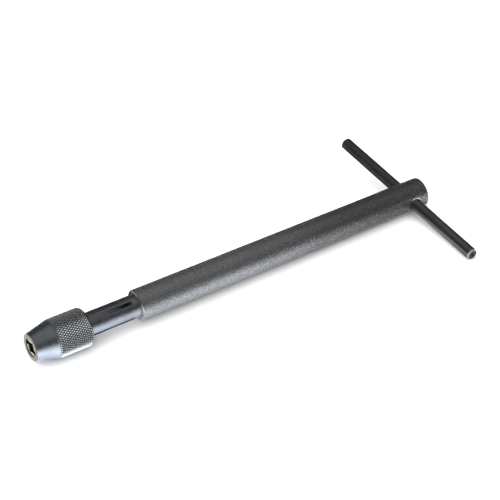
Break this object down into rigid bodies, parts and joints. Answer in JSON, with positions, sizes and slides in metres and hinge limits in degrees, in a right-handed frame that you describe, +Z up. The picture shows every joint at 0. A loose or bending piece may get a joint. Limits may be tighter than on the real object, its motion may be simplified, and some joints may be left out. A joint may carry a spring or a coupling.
{
  "type": "tap wrench",
  "caption": "Long T-handle tap wrench: tubular shaft, sliding cross bar at the rear, slotted neck and a knurled nut that draws in a pair of jaws on a tap's square.",
  "frame": {"origin": "under the middle of the tool, level with the lowest point of the chuck nut", "axes": "+X along the tool from the nose to the T-handle, Y along the handle, +Z up"},
  "size_m": [0.305, 0.142, 0.0258],
  "materials": {
    "blackened_tube": "rough blackened steel with fine pitting",
    "satin_neck": "satin blackened steel",
    "bright_pins": "bright ground steel",
    "blued_nut": "blued steel, smooth nose and diamond knurl",
    "jaw_steel": "bare machined steel",
    "spring_steel": "drawn spring wire",
    "black_oxide_bar": "black oxide with a faint gloss"
  },
  "bodies": {
    "tool_body": {"body_tube": "blackened_tube", "spindle": "satin_neck", "spindle_pin": "bright_pins", "tail_bush": "satin_neck", "bush_pin": "bright_pins", "friction_plunger": "bright_pins", "friction_spring": "spring_steel", "rear_plug": "bright_pins"},
    "jaw_carrier": {"jaw_spring_front": "spring_steel", "jaw_spring_rear": "spring_steel"},
    "nut": {"chuck_nut": "blued_nut"},
    "jaw_a": {"jaw_a": "jaw_steel"},
    "jaw_b": {"jaw_b": "jaw_steel"},
    "handle": {"tee_handle": "black_oxide_bar"}
  },
  "joints": [
    {"name": "nut_draw", "type": "slide", "parent": "tool_body", "child": "jaw_carrier", "axis": [1, 0, 0], "range_m": [-0.00039, 0.00389]},
    {"name": "nut_turn", "type": "hinge", "parent": "jaw_carrier", "child": "nut", "pos_m": [-0.1525, 0, 0.0129], "axis": [1, 0, 0], "range_deg": [-99.05, 991.25]},
    {"name": "jaw_a_close", "type": "slide", "parent": "jaw_carrier", "child": "jaw_a", "axis": [0, 0.3907, -0.9205], "range_m": [-0.00014, 0.00142]},
    {"name": "jaw_b_close", "type": "slide", "parent": "jaw_carrier", "child": "jaw_b", "axis": [0, -0.3907, 0.9205], "range_m": [-0.00014, 0.00142]},
    {"name": "handle_slide", "type": "slide", "parent": "tool_body", "child": "handle", "axis": [0, 1, 0], "range_m": [-0.058, 0.058]}
  ],
  "couplings": [
    {"joint": "nut_draw", "follows": "nut_turn", "m_per_rad": 0.00022459},
    {"joint": "jaw_a_close", "follows": "nut_turn", "m_per_rad": 0.000081742},
    {"joint": "jaw_b_close", "follows": "nut_turn", "m_per_rad": 0.000081742}
  ]
}
